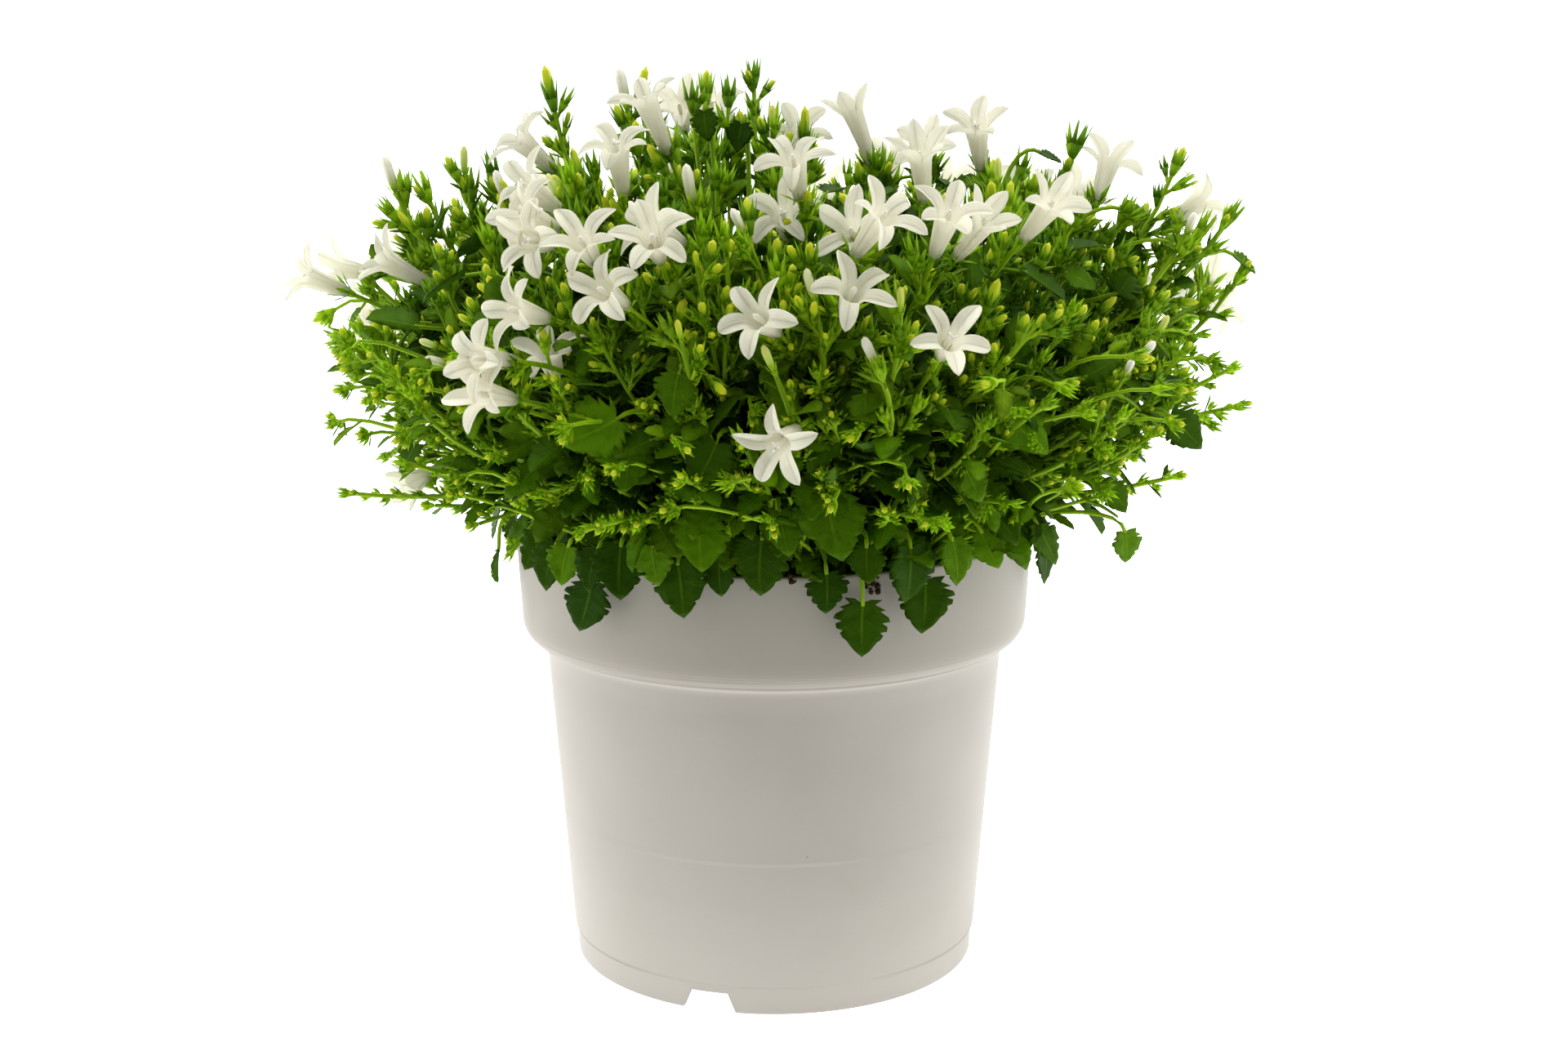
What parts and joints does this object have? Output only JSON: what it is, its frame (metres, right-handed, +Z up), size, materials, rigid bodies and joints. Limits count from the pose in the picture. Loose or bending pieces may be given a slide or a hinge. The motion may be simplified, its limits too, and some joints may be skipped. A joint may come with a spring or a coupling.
{
  "type": "potted dalmatian bellflower",
  "caption": "Dome-shaped flowering bellflower with white bells, buds and toothed green leaves, growing in a round white nursery pot with a stepped collar.",
  "frame": {"origin": "centre of the pot's foot on the surface it stands on, which is also the bottom centre of the whole plant's box", "axes": "+Z up, -Y towards the front that the flowers face, +X to the right seen from the front"},
  "size_m": [0.2387, 0.2405, 0.227],
  "materials": {
    "pot_plastic": "satin",
    "peat": "matte",
    "stem_green": "satin",
    "leaf_green": "satin",
    "petal_white": "matte",
    "bud_cream": "matte"
  },
  "bodies": {
    "root": {"pot": "pot_plastic", "potting_soil": "peat", "rim_leaf_01": "leaf_green", "rim_leaf_02": "leaf_green", "rim_leaf_03": "leaf_green", "rim_leaf_04": "leaf_green", "rim_leaf_05": "leaf_green", "rim_leaf_06": "leaf_green", "rim_leaf_07": "leaf_green", "rim_leaf_08": "leaf_green", "rim_leaf_09": "leaf_green", "shoot_01": "stem_green", "shoot_02": "stem_green", "shoot_03": "stem_green", "shoot_04": "stem_green", "shoot_05": "stem_green", "shoot_06": "stem_green", "shoot_07": "stem_green", "shoot_08": "stem_green", "shoot_09": "stem_green", "shoot_10": "stem_green", "shoot_11": "stem_green", "shoot_12": "stem_green", "shoot_13": "stem_green", "shoot_14": "stem_green", "shoot_15": "stem_green", "shoot_16": "stem_green", "shoot_17": "stem_green", "shoot_18": "stem_green", "shoot_19": "stem_green", "shoot_20": "stem_green", "shoot_21": "stem_green", "shoot_22": "stem_green", "shoot_23": "stem_green", "shoot_24": "stem_green", "shoot_25": "stem_green", "shoot_26": "stem_green", "shoot_27": "stem_green", "shoot_28": "stem_green", "corolla_01": "petal_white", "corolla_02": "petal_white", "corolla_03": "petal_white", "corolla_04": "petal_white", "corolla_05": "petal_white", "corolla_06": "petal_white", "corolla_07": "petal_white", "corolla_08": "petal_white", "corolla_09": "petal_white", "corolla_10": "petal_white", "corolla_11": "petal_white", "corolla_12": "petal_white", "corolla_13": "petal_white", "corolla_14": "petal_white", "corolla_15": "petal_white", "corolla_16": "petal_white", "corolla_17": "petal_white", "corolla_18": "petal_white", "corolla_19": "petal_white", "corolla_20": "petal_white", "corolla_21": "petal_white"}
  },
  "joints": []
}
